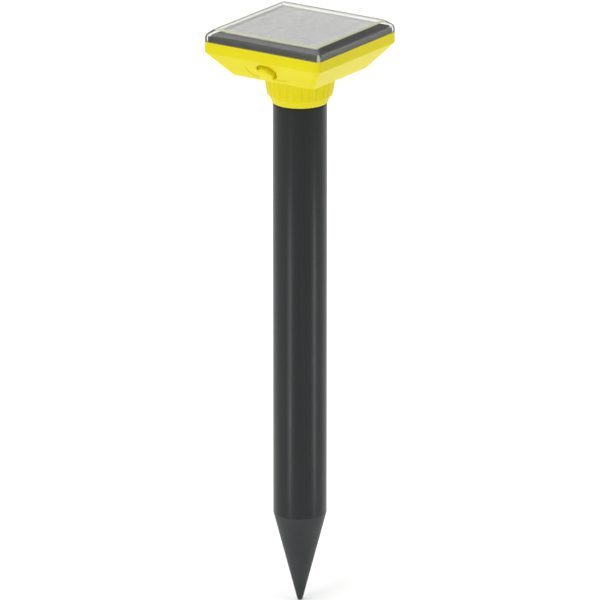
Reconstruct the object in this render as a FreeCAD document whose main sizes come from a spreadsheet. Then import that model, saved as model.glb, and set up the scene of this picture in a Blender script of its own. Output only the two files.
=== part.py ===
import FreeCAD, Part
import math
import os
import re

import Sketcher
from FreeCAD import Placement, Rotation, Vector

# Solar ground-stake pest repeller. Millimetres. The origin is on the stake's axis at the tube's top end,
# +Z runs up through the head, and the push button is on the head's -Y slope. The heights below are
# measured from the nut's lower rim, which is tube_drop above the origin.

SIZES = {
    # clearances shared by every joint of that kind
    "glue_gap": 0.05,
    "screw_gap": 0.05,
    "pass_gap": 0.2,
    "running_gap": 0.3,
    # stake: tube, threaded insert, spike
    "tube_radius": 20.0,
    "tube_wall": 1.8,
    "tube_length": 318.7,
    "tube_drop": 1.5,
    "plug_length": 28.0,
    "insert_top": 13.9,
    "flange_inset": 0.3,
    "flange_thickness": 1.2,
    "spigot_length": 25.0,
    "spigot_wall": 2.6,
    "spike_reach": 71.0,
    "spike_end_radius": 1.8,
    "spike_end_round": 1.6,
    "spike_wall_end": 26.0,
    # screw thread between the insert and the nut
    "thread_inset": 0.8,
    "thread_depth": 1.2,
    "thread_pitch": 4.0,
    "thread_crest": 1.3,
    "thread_flank": 0.5,
    "thread_start": 1.2,
    "thread_turns": 2.5,
    "nut_turns": 2.0,
    "thread_root_sink": 0.2,
    # union nut, its outline measured out from the tube's radius
    "nut_rim_out": 0.6,
    "nut_ring_out": 3.0,
    "nut_low_out": 4.3,
    "nut_top_out": 6.9,
    "nut_ring_low": 5.4,
    "nut_ring_high": 6.2,
    "nut_thread_top": 14.0,
    "nut_lip": 3.2,
    "nut_head_gap": 0.4,
    "flute_radius": 2.2,
    "flute_depth": 0.7,
    # neck, neck ring, seal and the screws that clamp the ring and the carrier to the head
    "neck_inset": 3.0,
    "ring_gap": 0.4,
    "seal_section": 0.8,
    "seal_room": 0.2,
    "seal_stand": 0.1,
    "seal_wall": 1.7,
    "clamp_radius": 1.0,
    "clamp_depth": 2.8,
    "clamp_head_radius": 2.0,
    "clamp_head_height": 1.4,
    "recess_width": 0.5,
    "recess_depth": 0.8,
    # head housing
    "head_width": 102.0,
    "base_width": 72.0,
    "base_height": 23.0,
    "band_bottom": 41.2,
    "rim_height": 49.2,
    "corner_radius": 3.0,
    "wall": 2.4,
    "slope_wall": 3.1,
    "floor_thickness": 2.4,
    "gasket_width": 1.2,
    "gasket_height": 0.8,
    "gasket_inset": 0.6,
    "board_post_radius": 3.0,
    "board_post_height": 6.6,
    "board_post_inset": 3.5,
    "tray_post_radius": 3.5,
    "tray_post_inset": 10.2,
    "tray_post_bury": 1.5,
    "pilot_depth": 6.0,
    # push button on the slope, measured along the slope's outward normal
    "dish_length": 37.0,
    "dish_width": 16.5,
    "dish_depth": 0.35,
    "well_margin": 2.0,
    "well_depth": 2.2,
    "boss_wall": 2.1,
    "boss_depth": 5.4,
    "boss_root": 1.0,
    "button_radius": 6.4,
    "button_proud": 3.4,
    "button_round": 1.6,
    "button_flange_out": 1.5,
    "button_flange_thickness": 1.4,
    "button_wall": 1.5,
    "button_crown": 1.8,
    "button_travel": 1.5,
    "button_stop": 0.1,
    "plunger_radius": 1.6,
    "boot_width": 2.0,
    "boot_thickness": 1.2,
    "switch_board_depth": 13.4,
    "switch_board_width": 12.0,
    "switch_board_end": 3.0,
    "switch_post_radius": 2.4,
    "switch_body": 6.0,
    "switch_body_height": 2.6,
    "switch_stem_radius": 1.7,
    "switch_stem_height": 1.2,
    "small_screw_radius": 0.9,
    "small_screw_head": 1.8,
    "small_screw_head_height": 1.2,
    "small_screw_length": 6.0,
    "spring_out": 0.5,
    "spring_wire": 0.35,
    "spring_turns": 4.0,
    # clear cover
    "cover_height": 9.5,
    "cover_side": 4.8,
    "cover_chamfer": 5.9,
    "cover_wall": 2.0,
    "cover_top": 1.8,
    "cover_top_corner": 2.0,
    "cover_fold_round": 4.0,
    "cover_top_round": 1.2,
    # panel tray
    "tray_gap": 0.6,
    "tray_stand": 0.363,
    "tray_shoulder": 1.0,
    "tray_top_gap": 1.8,
    "tray_edge_gap": 1.8,
    "tray_lip": 0.8,
    "tray_wall": 2.4,
    "tray_plate": 2.0,
    "tray_boss_radius": 3.6,
    "tray_screw_radius": 1.45,
    "tray_screw_head": 2.8,
    "tray_screw_head_height": 1.5,
    "tray_screw_length": 12.0,
    "lead_hole_radius": 2.5,
    "lead_place": 30.0,
    # solar panel, bottom to top
    "panel_gap": 0.3,
    "panel_sink": 0.1,
    "foam_width": 6.0,
    "foam_height": 1.0,
    "solar_board_height": 1.2,
    "solar_cell_height": 0.25,
    "solar_cell_margin": 1.6,
    "solar_cell_space": 0.8,
    "ribbon_width": 1.2,
    "ribbon_height": 0.1,
    "resin_height": 0.65,
    "dot_radius": 0.9,
    "dot_gap": 0.1,
    "dot_x": -36.7,
    "dot_y": 18.3,
    # electronics
    "board_inset": 9.0,
    "board_thickness": 1.6,
    "board_opening": 8.0,
    "board_screw_length": 7.0,
    "chip_length": 10.0,
    "chip_width": 6.0,
    "chip_height": 1.6,
    "capacitor_radius": 4.0,
    "capacitor_height": 9.0,
    "inductor_radius": 5.0,
    "inductor_height": 5.0,
    "socket_length": 7.5,
    "socket_width": 5.6,
    "socket_height": 6.0,
    "panel_socket": 19.0,
    "switch_socket": 16.0,
    # battery carrier and cells
    "carrier_wall": 1.9,
    "carrier_flange_out": 5.0,
    "carrier_flange_thickness": 2.0,
    "carrier_bore_gap": 1.2,
    "carrier_neck_gap": 0.4,
    "carrier_end": 5.0,
    "carrier_roof": 2.0,
    "shelf_thickness": 1.4,
    "shelf_gap": 0.25,
    "notch_height": 2.2,
    "cell_radius": 7.25,
    "cell_body": 49.0,
    "cell_button_radius": 2.6,
    "cell_button_height": 1.4,
    "cell_gap": 0.1,
    "cell_axis": 1.9,
    "cell_room": 1.95,
    "cell_top": 8.0,
    "contact_width": 9.0,
    "contact_thickness": 0.5,
    "contact_spring_radius": 3.2,
    "contact_spring_wire": 0.35,
    "contact_spring_height": 3.1,
    "contact_spring_turns": 2.0,
    # speaker at the carrier's lower end
    "basket_height": 16.0,
    "basket_wall": 1.4,
    "basket_plate": 2.0,
    "yoke_plate": 1.2,
    "pole_radius": 3.5,
    "magnet_bore": 5.2,
    "magnet_height": 3.4,
    "gap_plate_bore": 4.6,
    "gap_plate_height": 1.0,
    "coil_inner": 3.8,
    "coil_wall": 0.4,
    "coil_height": 4.6,
    "coil_out": 1.6,
    "cone_thickness": 0.5,
    "cone_drop": 3.0,
    "surround_width": 1.3,
    "grille_height": 1.6,
    "grille_hole_circle": 6.5,
    "grille_hole_radius": 1.5,
    "speaker_screw_length": 6.0,
    # wires
    "wire_radius": 0.6,
    "wire_bend": 2.0,
    "wire_space": 1.8,
    "wire_stand": 1.9,
    "panel_wire_rise": 3.9,
}

FLUTES = 28
CLAMPS = 3
CELLS = 3
CELL_COLUMNS = 2
CELL_ROWS = 4
GRILLE_HOLES = 6

# Stake and nut
BORE = "(tube_radius - tube_wall)"
THREAD = "(tube_radius - thread_inset)"
THREAD_ROOT = f"({THREAD} - thread_depth)"
NUT_THREAD = f"({THREAD} + running_gap)"
NUT_HEIGHT = "(base_height - nut_head_gap)"
LIP_LOW = f"({NUT_HEIGHT} - nut_lip)"

# Carrier, sized by the cells, and what it passes through
CARRIER = "(cell_radius + cell_axis + cell_room + carrier_wall)"
CARRIER_INSIDE = f"({CARRIER} - carrier_wall)"
NECK = "(tube_radius - neck_inset)"
NECK_BORE = f"({CARRIER} + carrier_neck_gap)"
NECK_END = f"({LIP_LOW} - running_gap)"
INSERT_BORE = f"({CARRIER} + carrier_bore_gap)"
CLAMP_CIRCLE = f"(({NECK} + {NECK_BORE}) / 2)"
FLOOR_TOP = "(base_height + floor_thickness)"

# Neck ring: its underside stands off the insert's top, and its seal groove lies near its outer edge
RING_LOW = "(insert_top + running_gap)"
RING = "(tube_radius - ring_gap)"
SEAL_ROOM = "(seal_section + seal_room)"
SEAL_CIRCLE = f"({RING} - seal_wall - {SEAL_ROOM})"

# Head
HALF_HEAD = "(head_width / 2)"
HALF_BASE = "(base_width / 2)"
RUN = f"({HALF_HEAD} - {HALF_BASE})"
RISE = "(band_bottom - base_height)"
TILT = f"(90 deg + atan({RUN} / {RISE}))"
SLOPE_Y = "(-(head_width + base_width) / 4)"
SLOPE_Z = "((base_height + band_bottom) / 2)"
BOSS = "(button_radius + well_margin + boss_wall)"
BOSS_TOP = f"({SLOPE_Z} + {BOSS} * sin({TILT}) - boss_depth * cos({TILT}))"
CAVITY_LOW = f"({HALF_BASE} + floor_thickness * {RUN} / {RISE} - slope_wall)"

# Cover, tray and panel, from the cover's inside down
COVER_TOP_HALF = f"({HALF_HEAD} - cover_chamfer)"
COVER_INSIDE_TOP = f"({COVER_TOP_HALF} - cover_wall * 0.6)"
TRAY_LOW = f"({BOSS_TOP} + tray_stand)"
TRAY_SINK = f"(rim_height - {TRAY_LOW})"
TRAY_HALF = f"({HALF_HEAD} - cover_wall - tray_gap)"
TRAY_TOP_HALF = f"({COVER_INSIDE_TOP} - tray_edge_gap)"
TRAY_SIDE = f"({TRAY_SINK} + cover_side - tray_shoulder)"
TRAY_HEIGHT = f"({TRAY_SINK} + cover_height - cover_top - tray_top_gap)"
TRAY_POST = f"({TRAY_HALF} - tray_post_inset)"
POST_OVERHANG = f"({TRAY_POST} + tray_post_radius - {HALF_BASE})"
TRAY_POST_LOW = f"(base_height + {POST_OVERHANG} * {RISE} / {RUN} + tray_post_bury)"
CELL_LOW = "(foam_height + solar_board_height)"
RESIN_LOW = f"({CELL_LOW} + solar_cell_height + ribbon_height)"
SEAT = f"({TRAY_HEIGHT} - panel_sink - resin_height - {RESIN_LOW})"
SEAT_Z = f"({TRAY_LOW} + {SEAT})"
SEAT_HALF = f"({TRAY_TOP_HALF} - tray_lip)"
PANEL = f"(2 * ({SEAT_HALF} - panel_gap))"

# Control board
BOARD_WIDTH = "(base_width - 2 * board_inset)"
BOARD_POST = f"({BOARD_WIDTH} / 2 - board_post_inset)"
BOARD_LOW = f"({FLOOR_TOP} + board_post_height)"
BOARD_TOP = f"({BOARD_LOW} + board_thickness)"
SOCKET_TOP = f"({BOARD_TOP} + socket_height)"

# Button, measured along the slope's outward normal
BUTTON_BORE = "(button_radius + running_gap)"
WELL = "(button_radius + well_margin)"
BOOT = "(button_radius + boot_width)"
FLANGE_TOP = "(-boss_depth - running_gap)"
FLANGE_LOW = f"({FLANGE_TOP} - button_flange_thickness)"
STEM_TOP = "(-switch_board_depth + switch_body_height + switch_stem_height)"
PLUNGER_END = f"({STEM_TOP} + button_travel + button_stop)"
SWITCH_POST = f"({BOSS} + switch_post_radius + screw_gap * 2)"

# Cells and carrier, downward from the upper contact
CELL_PITCH = "(cell_body + cell_button_height + cell_gap)"
CELL_STACK_LOW = f"(cell_top - contact_thickness - {CELLS} * {CELL_PITCH})"
CARRIER_FLOOR = f"({CELL_STACK_LOW} - contact_spring_height - contact_thickness)"
CARRIER_LOW = f"({CARRIER_FLOOR} - carrier_end)"
SHELF = "(cell_radius - cell_axis + shelf_gap)"
WIRE_PLACE = f"({SHELF} + shelf_thickness + wire_stand)"

# Speaker, measured from the carrier's lower end
BASKET_INSIDE = f"({CARRIER} - basket_wall)"
SPEAKER_SCREW = f"({BASKET_INSIDE} - small_screw_head - pass_gap)"
YOKE = f"({SPEAKER_SCREW} - small_screw_head - pass_gap)"
YOKE_FACE = "(-basket_plate - yoke_plate)"
GAP_PLATE_LOW = f"({YOKE_FACE} - magnet_height - gap_plate_height)"
COIL_LOW = f"({GAP_PLATE_LOW} - coil_out)"

doc = FreeCAD.newDocument("ground_stake_repeller")
sheet = doc.addObject("Spreadsheet::Sheet", "Dims")
for row, (alias, size) in enumerate(SIZES.items(), start=1):
    sheet.set(f"A{row}", alias.replace("_", " "))
    sheet.set(f"B{row}", str(size))
    sheet.setAlias(f"B{row}", alias)
doc.recompute()

nodes = []


# ---------------------------------------------------------------- expressions and sketches


def bound(text):
    """The expression with every size read from the sheet."""
    return re.sub(r"[a-z][a-z_]+", lambda word: f"Dims.{word[0]}" if word[0] in SIZES else word[0], text)


def value(text):
    """The expression's value now, in millimetres or degrees."""
    found = sheet.evalExpression(bound(text))
    return float(getattr(found, "Value", found))


def new_body(name, x="0", y="0", z="0", turn=None, axis=Vector(1, 0, 0)):
    """A sub-part, placed by expressions, z up from the nut's lower rim. turn is its rotation about axis."""
    body = doc.addObject("PartDesign::Body", name)
    body.Label = name
    if turn:
        body.Placement = Placement(Vector(), Rotation(axis, value(turn)))
        body.setExpression("Placement.Rotation.Angle", bound(turn))
    for letter, text in zip("xyz", (x, y, f"tube_drop + ({z})")):
        body.setExpression(f"Placement.Base.{letter}", bound(text))
    nodes.append(body)
    return body


def on_plane(body, role="XY_Plane", height="0"):
    """A sketch on one of the body's own planes, raised by height along the plane's normal."""
    sketch = body.newObject("Sketcher::SketchObject", f"{body.Name}_sketch")
    origin_plane = next(part for part in body.Origin.OriginFeatures if part.Role == role)
    sketch.AttachmentSupport = [(origin_plane, "")]
    sketch.MapMode = "FlatFace"
    sketch.setExpression("AttachmentOffset.Base.z", bound(height))
    return sketch


def on_slope(body, height="0"):
    """A sketch parallel to the head's -Y slope: its origin is the slope's centre, its y runs up the slope."""
    sketch = on_plane(body)
    sketch.AttachmentOffset = Placement(Vector(), Rotation(Vector(1, 0, 0), value(TILT)))
    sketch.setExpression("AttachmentOffset.Rotation.Angle", bound(TILT))
    sketch.setExpression("AttachmentOffset.Base.y", bound(f"{SLOPE_Y} - ({height}) * sin({TILT})"))
    sketch.setExpression(
        "AttachmentOffset.Base.z", bound(f"{SLOPE_Z} - base_height + ({height}) * cos({TILT})")
    )
    return sketch


def fix(sketch, kind, items, text):
    """A dimension whose value is an expression."""
    index = sketch.addConstraint(Sketcher.Constraint(kind, *items, value(text)))
    sketch.setExpression(f"Constraints[{index}]", bound(text))


def fix_point(sketch, item, point, x, y):
    """One point of a sketch at (x, y)."""
    for kind, axis, text in (("DistanceX", -2, x), ("DistanceY", -1, y)):
        if abs(value(text)) < 1e-9:
            sketch.addConstraint(Sketcher.Constraint("PointOnObject", item, point, axis))
        else:
            fix(sketch, kind, (-1, 1, item, point), text)


def spot(x, y):
    return Vector(value(x), value(y), 0)


def outline(sketch, points):
    """A closed outline of straight lines through (x, y) expressions."""
    first = sketch.GeometryCount
    count = len(points)
    for index in range(count):
        ends = spot(*points[index]), spot(*points[(index + 1) % count])
        sketch.addGeometry(Part.LineSegment(*ends), False)
    for index in range(count):
        after = first + (index + 1) % count
        sketch.addConstraint(Sketcher.Constraint("Coincident", first + index, 2, after, 1))
        fix_point(sketch, first + index, 1, *points[index])
    return sketch


def box(sketch, width, depth, x="0", y="0"):
    """A rectangle of width by depth about (x, y)."""
    low_x, high_x = f"{x} - ({width}) / 2", f"{x} + ({width}) / 2"
    low_y, high_y = f"{y} - ({depth}) / 2", f"{y} + ({depth}) / 2"
    return outline(sketch, [(low_x, low_y), (high_x, low_y), (high_x, high_y), (low_x, high_y)])


def discs(sketch, radius, centres=(("0", "0"),)):
    """Circles of one radius at (x, y) centres."""
    for x, y in centres:
        item = sketch.addGeometry(Part.Circle(spot(x, y), Vector(0, 0, 1), value(radius)), False)
        fix(sketch, "Radius", (item,), radius)
        fix_point(sketch, item, 3, x, y)
    return sketch


def soft_square(sketch, half, corner):
    """A square about the origin, half its width from the centre to each side, with rounded corners."""
    side, bend = value(half), value(corner)
    first = sketch.GeometryCount
    inner = side - bend
    for turn in range(4):
        spin = Rotation(Vector(0, 0, 1), 90 * turn)
        start, end = Vector(-inner, -side, 0), Vector(inner, -side, 0)
        sketch.addGeometry(Part.LineSegment(spin.multVec(start), spin.multVec(end)), False)
    for turn in range(4):
        spin = Rotation(Vector(0, 0, 1), 90 * turn)
        circle = Part.Circle(spin.multVec(Vector(inner, -inner, 0)), Vector(0, 0, 1), bend)
        low = math.radians(90 * turn - 90)
        sketch.addGeometry(Part.ArcOfCircle(circle, low, low + math.pi / 2), False)
    for turn in range(4):
        line, arc = first + turn, first + 4 + turn
        after = first + (turn + 1) % 4
        sketch.addConstraint(Sketcher.Constraint("Tangent", line, 2, arc, 1))
        sketch.addConstraint(Sketcher.Constraint("Tangent", arc, 2, after, 1))
        sketch.addConstraint(Sketcher.Constraint("Vertical" if turn % 2 else "Horizontal", line))
        if turn:
            sketch.addConstraint(Sketcher.Constraint("Equal", first + 4, arc))
    fix(sketch, "Radius", (first + 4,), corner)
    sides = (("DistanceY", "-"), ("DistanceX", ""), ("DistanceY", ""), ("DistanceX", "-"))
    for turn, (kind, sign) in enumerate(sides):
        fix(sketch, kind, (-1, 1, first + turn, 1), f"{sign}({half})")
    return sketch


def stadium(sketch, length, width):
    """A slot shape about the origin, its length along x."""
    reach, bend = (value(length) - value(width)) / 2, value(width) / 2
    quarter = math.pi / 2
    for side in (1, -1):
        start, end = Vector(-side * reach, -side * bend, 0), Vector(side * reach, -side * bend, 0)
        sketch.addGeometry(Part.LineSegment(start, end), False)
        circle = Part.Circle(Vector(side * reach, 0, 0), Vector(0, 0, 1), bend)
        sketch.addGeometry(Part.ArcOfCircle(circle, -side * quarter, (2 - side) * quarter), False)
    for item in range(4):
        sketch.addConstraint(Sketcher.Constraint("Tangent", item, 2, (item + 1) % 4, 1))
    sketch.addConstraint(Sketcher.Constraint("Horizontal", 0))
    fix(sketch, "Radius", (1,), f"({width}) / 2")
    for item, sign in ((1, ""), (3, "-")):
        fix_point(sketch, item, 3, f"{sign}(({length}) - ({width})) / 2", "0")
    return sketch


# ---------------------------------------------------------------- features


def feature(body, kind, profile, **lengths):
    """A PartDesign feature on a profile, its lengths set by expressions. It must change the body's volume."""
    before = body.Shape.Volume if body.Tip else 0.0
    made = body.newObject(f"PartDesign::{kind}", f"{body.Name}_{kind.lower()}")
    made.Profile = profile
    for key, text in lengths.items():
        made.setExpression(key, bound(text))
    return made, before


def changed(body, made, before):
    """Recompute, and stop if the feature left the volume as it was."""
    doc.recompute()
    if abs(body.Shape.Volume - before) < 1e-6:
        raise ValueError(f"{made.Name} changed nothing")
    return made


def pad(body, sketch, length, down=False):
    made, before = feature(body, "Pad", sketch, Length=length)
    made.Reversed = down
    return changed(body, made, before)


def pocket(body, sketch, length, up=False):
    made, before = feature(body, "Pocket", sketch, Length=length)
    made.Reversed = up
    return changed(body, made, before)


def loft(body, low, high, cut=False):
    made, before = feature(body, "SubtractiveLoft" if cut else "AdditiveLoft", low)
    made.Sections = [high]
    made.Ruled = True
    return changed(body, made, before)


def revolve(body, points):
    """A solid of revolution about the body's z axis, from an outline of (radius, height)."""
    sketch = outline(on_plane(body, "XZ_Plane"), points)
    made, before = feature(body, "Revolution", sketch)
    made.ReferenceAxis = (sketch, ["V_Axis"])
    made.Angle = 360
    return changed(body, made, before)


def ring(body, inner, outer, low, high):
    return revolve(body, [(inner, low), (outer, low), (outer, high), (inner, high)])


def groove(body, points):
    sketch = outline(on_plane(body, "XZ_Plane"), points)
    made, before = feature(body, "Groove", sketch)
    made.ReferenceAxis = (sketch, ["V_Axis"])
    made.Angle = 360
    return changed(body, made, before)


def helix(body, sketch, pitch, height):
    made, before = feature(body, "AdditiveHelix", sketch, Pitch=pitch, Height=height)
    made.ReferenceAxis = (sketch, ["V_Axis"])
    made.Mode = 0
    return changed(body, made, before)


def polar(body, original, count):
    """Copies of a feature about the body's z axis."""
    made = body.newObject("PartDesign::PolarPattern", f"{body.Name}_pattern")
    made.Originals = [original]
    made.Axis = (original.Profile[0], ["N_Axis"])
    made.Angle = 360
    made.Occurrences = count
    body.Tip = made
    doc.recompute()
    return made


def corners(place):
    """Four centres at plus and minus place."""
    return [(f"{x}{place}", f"{y}{place}") for x in ("-", "") for y in ("-", "")]


def around(circle, count, start=90):
    """Centres evenly round a circle."""
    turns = [start + 360 / count * index for index in range(count)]
    return [(f"{circle} * cos({turn} deg)", f"{circle} * sin({turn} deg)") for turn in turns]


def fillet(body, edges, bend):
    """Round off the named edges of the body's newest shape."""
    tip = body.Tip
    made = body.newObject("PartDesign::Fillet", f"{body.Name}_round")
    made.Base = (tip, edges)
    made.setExpression("Radius", bound(bend))
    doc.recompute()


def round_edge(body, radius, bend):
    """Round off the highest circular edge of this radius, along the body's own z axis."""
    inverse = body.Placement.inverse()
    rounds = [
        (inverse.multVec(edge.Curve.Center).z, f"Edge{index + 1}")
        for index, edge in enumerate(body.Shape.Edges)
        if isinstance(edge.Curve, Part.Circle) and abs(edge.Curve.Radius - value(radius)) < 1e-6
    ]
    fillet(body, [max(rounds)[1]], bend)


def round_level(body, height, bend):
    """Round off every edge that runs level at this height, along the body's own z axis."""
    inverse = body.Placement.inverse()
    level = [
        f"Edge{index + 1}"
        for index, edge in enumerate(body.Shape.Edges)
        if all(abs(inverse.multVec(end.Point).z - value(height)) < 1e-6 for end in edge.Vertexes)
    ]
    fillet(body, level, bend)


def screws(name, centres, shank, length, head, head_height, z, **place):
    """Pan-head screws as one node, heads up from z = 0, each with a slot."""
    body = new_body(name, z=z, **place)
    pad(body, discs(on_plane(body), head, centres), head_height)
    pad(body, discs(on_plane(body), shank, centres), length, down=True)
    slots = on_plane(body, height=head_height)
    for x, y in centres:
        box(slots, f"{head} * 1.4", "recess_width", x, y)
    pocket(body, slots, "recess_depth")
    return body


def small_screws(body, centres, length):
    """Small screws in a body of their own, heads down from z = 0."""
    pad(body, discs(on_plane(body), "small_screw_head", centres), "small_screw_head_height", down=True)
    pad(body, discs(on_plane(body), "small_screw_radius", centres), length)


def stepped(point, along, steps):
    """The point moved by that many wire bends along a level or upright direction."""
    moves = (round(part * steps) for part in (along.x, along.y))
    return tuple(f"{text} + {move} * wire_bend" for text, move in zip(point, moves))


def bent_path(sketch, points):
    """Upright and level runs in turn through points, joined by arcs of the wire's bend."""
    ways = [(spot(*after) - spot(*before)).normalize() for before, after in zip(points, points[1:])]
    last = len(ways) - 1
    for index, way in enumerate(ways):
        near = stepped(points[index], way, 1 if index else 0)
        far = stepped(points[index + 1], way, -1 if index < last else 0)
        line = sketch.addGeometry(Part.LineSegment(spot(*near), spot(*far)), False)
        fix_point(sketch, line, 1, *near)
        fix_point(sketch, line, 2, *far)
    bend = value("wire_bend")
    for index in range(last):
        into, out = ways[index], ways[index + 1]
        corner = spot(*points[index + 1])
        middle = corner + (out - into) * bend * (1 - math.sqrt(0.5))
        ends = [corner - into * bend, corner + out * bend]
        begin, end = 1, 2
        if into.cross(out).z < 0:  # a sketch's arcs always run anticlockwise
            ends.reverse()
            begin, end = end, begin
        arc = sketch.addGeometry(Part.Arc(ends[0], middle, ends[1]), False)
        sketch.addConstraint(Sketcher.Constraint("Coincident", index, 2, arc, begin))
        sketch.addConstraint(Sketcher.Constraint("Coincident", arc, end, index + 1, 1))
        fix(sketch, "Radius", (arc,), "wire_bend")


def wires(name, role, routes):
    """Insulated wires as one node. A route is (offset, points): points along the plane, offset across it."""
    body = new_body(name, z="0")
    for offset, points in routes:
        along, low = points[0]
        across = f"-({offset})" if role == "XZ_Plane" else offset
        x, y = (along, offset) if role == "XZ_Plane" else (offset, along)
        section = discs(on_plane(body, height=low), "wire_radius", [(x, y)])
        if len(points) == 2:
            pad(body, section, f"{low} - ({points[1][1]})", down=True)
        else:
            path = on_plane(body, role, across)
            bent_path(path, points)
            made, before = feature(body, "AdditivePipe", section)
            made.Spine = path
            changed(body, made, before)
    return body


# ---------------------------------------------------------------- stake


def stake_tube():
    body = new_body("stake_tube", z="-(tube_drop + tube_length)")
    ring(body, BORE, "tube_radius", "0", "tube_length")


def spike_point():
    body = new_body("spike_point", z="-(tube_drop + tube_length)")
    outer = f"{BORE} - glue_gap"
    inner = f"{outer} - spigot_wall"
    revolve(body, [
        (inner, "spigot_length"), (outer, "spigot_length"), (outer, "0"), ("tube_radius", "0"),
        ("spike_end_radius", "-spike_reach"), ("0", "-spike_reach"), ("0", "spike_wall_end - spike_reach"),
        (inner, "0"),
    ])
    round_edge(body, "spike_end_radius", "spike_end_round")


def thread_ridge(body, root, crest, middle, turns):
    """A trapezoid thread form from its root to its crest, starting about the height middle."""
    high = "thread_crest / 2 + thread_flank"
    points = [
        (root, f"{middle} - ({high})"), (crest, f"{middle} - thread_crest / 2"),
        (crest, f"{middle} + thread_crest / 2"), (root, f"{middle} + {high}"),
    ]
    helix(body, outline(on_plane(body, "XZ_Plane"), points), "thread_pitch", f"{turns} * thread_pitch")


def threaded_insert():
    body = new_body("threaded_insert", z="-tube_drop")
    plug = f"{BORE} - glue_gap"
    flange = "tube_radius - flange_inset"
    top = "insert_top + tube_drop"
    revolve(body, [
        (INSERT_BORE, "-plug_length"), (plug, "-plug_length"), (plug, "0"), (flange, "0"),
        (flange, "flange_thickness"), (THREAD_ROOT, "flange_thickness"), (THREAD_ROOT, top),
        (INSERT_BORE, top),
    ])
    root = f"{THREAD_ROOT} - thread_root_sink"
    thread_ridge(body, root, THREAD, "tube_drop + thread_start", "thread_turns")


def union_nut():
    body = new_body("union_nut", z="0")
    lip = f"{NECK} + running_gap"
    low, high = "tube_radius + nut_low_out", "tube_radius + nut_top_out"
    revolve(body, [
        (NUT_THREAD, "0"), ("tube_radius + nut_rim_out", "0"), ("tube_radius + nut_ring_out", "nut_ring_low"),
        ("tube_radius + nut_ring_out", "nut_ring_high"), (low, "nut_ring_high"), (high, NUT_HEIGHT),
        (lip, NUT_HEIGHT), (lip, LIP_LOW), ("tube_radius", LIP_LOW), ("tube_radius", "nut_thread_top"),
        (NUT_THREAD, "nut_thread_top"),
    ])
    away = "flute_radius - flute_depth"
    flutes = [
        discs(on_plane(body, height=height), "flute_radius", [(f"{radius} + {away}", "0")])
        for radius, height in ((low, "nut_ring_high"), (high, NUT_HEIGHT))
    ]
    polar(body, loft(body, *flutes, cut=True), FLUTES)
    start = "thread_start + thread_pitch / 2"
    thread_ridge(body, f"{NUT_THREAD} + thread_root_sink", f"{THREAD_ROOT} + running_gap", start, "nut_turns")


# ---------------------------------------------------------------- neck


def neck_ring():
    body = new_body("neck_ring", z=RING_LOW)
    height = f"{NECK_END} - {RING_LOW}"
    ring(body, NECK_BORE, RING, "0", height)
    depth = "seal_stand + 2 * seal_section + glue_gap - running_gap"
    inner, outer = f"{SEAL_CIRCLE} - {SEAL_ROOM}", f"{SEAL_CIRCLE} + {SEAL_ROOM}"
    groove(body, [(inner, "0"), (outer, "0"), (outer, depth), (inner, depth)])
    holes = discs(on_plane(body, height=height), "clamp_radius + screw_gap", around(CLAMP_CIRCLE, CLAMPS))
    pocket(body, holes, "clamp_depth")


def neck_seal():
    body = new_body("neck_seal", z="insert_top + seal_stand + seal_section")
    sketch = discs(on_plane(body, "XZ_Plane"), "seal_section", [(SEAL_CIRCLE, "0")])
    made, before = feature(body, "Revolution", sketch)
    made.ReferenceAxis = (sketch, ["V_Axis"])
    made.Angle = 360
    changed(body, made, before)


def clamp_screws():
    length = f"{FLOOR_TOP} + carrier_flange_thickness - {NECK_END} + clamp_depth - pass_gap"
    screws(
        "clamp_screws", around(CLAMP_CIRCLE, CLAMPS), "clamp_radius", length,
        "clamp_head_radius", "clamp_head_height", f"{FLOOR_TOP} + carrier_flange_thickness",
    )


# ---------------------------------------------------------------- head


def head_housing():
    body = new_body("head_housing", z="base_height")
    rim = "rim_height - base_height"
    low = soft_square(on_plane(body), HALF_BASE, "corner_radius")
    loft(body, low, soft_square(on_plane(body, height=RISE), HALF_HEAD, "corner_radius"))
    band = soft_square(on_plane(body, height=RISE), HALF_HEAD, "corner_radius")
    pad(body, band, "rim_height - band_bottom")
    inside = f"{HALF_HEAD} - wall"
    corner = "corner_radius - wall"
    shoulder = f"{RISE} + wall / 3"
    low = soft_square(on_plane(body, height="floor_thickness"), CAVITY_LOW, corner)
    loft(body, low, soft_square(on_plane(body, height=shoulder), inside, corner), cut=True)
    pocket(body, soft_square(on_plane(body, height=shoulder), inside, corner), rim, up=True)
    housing_posts(body)
    pad(body, discs(on_plane(body), NECK), f"base_height - {NECK_END}", down=True)
    through = f"floor_thickness + base_height - {NECK_END}"
    clamps = around(CLAMP_CIRCLE, CLAMPS)
    for radius, centres in ((NECK_BORE, [("0", "0")]), ("clamp_radius + pass_gap", clamps)):
        pocket(body, discs(on_plane(body, height="floor_thickness"), radius, centres), through)
    gasket_outline(body, rim)
    button_seat(body)


def housing_posts(body):
    """Four posts for the tray and four for the control board, each with a pilot hole."""
    low = on_plane(body, height=f"{TRAY_POST_LOW} - base_height")
    pad(body, discs(low, "tray_post_radius", corners(TRAY_POST)), f"{TRAY_LOW} - {TRAY_POST_LOW}")
    posts = discs(on_plane(body, height="floor_thickness / 2"), "board_post_radius", corners(BOARD_POST))
    pad(body, posts, "board_post_height + floor_thickness / 2")
    for height, radius, place in (
        (f"{TRAY_LOW} - base_height", "tray_screw_radius", TRAY_POST),
        ("floor_thickness + board_post_height", "small_screw_radius", BOARD_POST),
    ):
        pilots = discs(on_plane(body, height=height), f"{radius} + screw_gap", corners(place))
        pocket(body, pilots, "pilot_depth")


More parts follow.
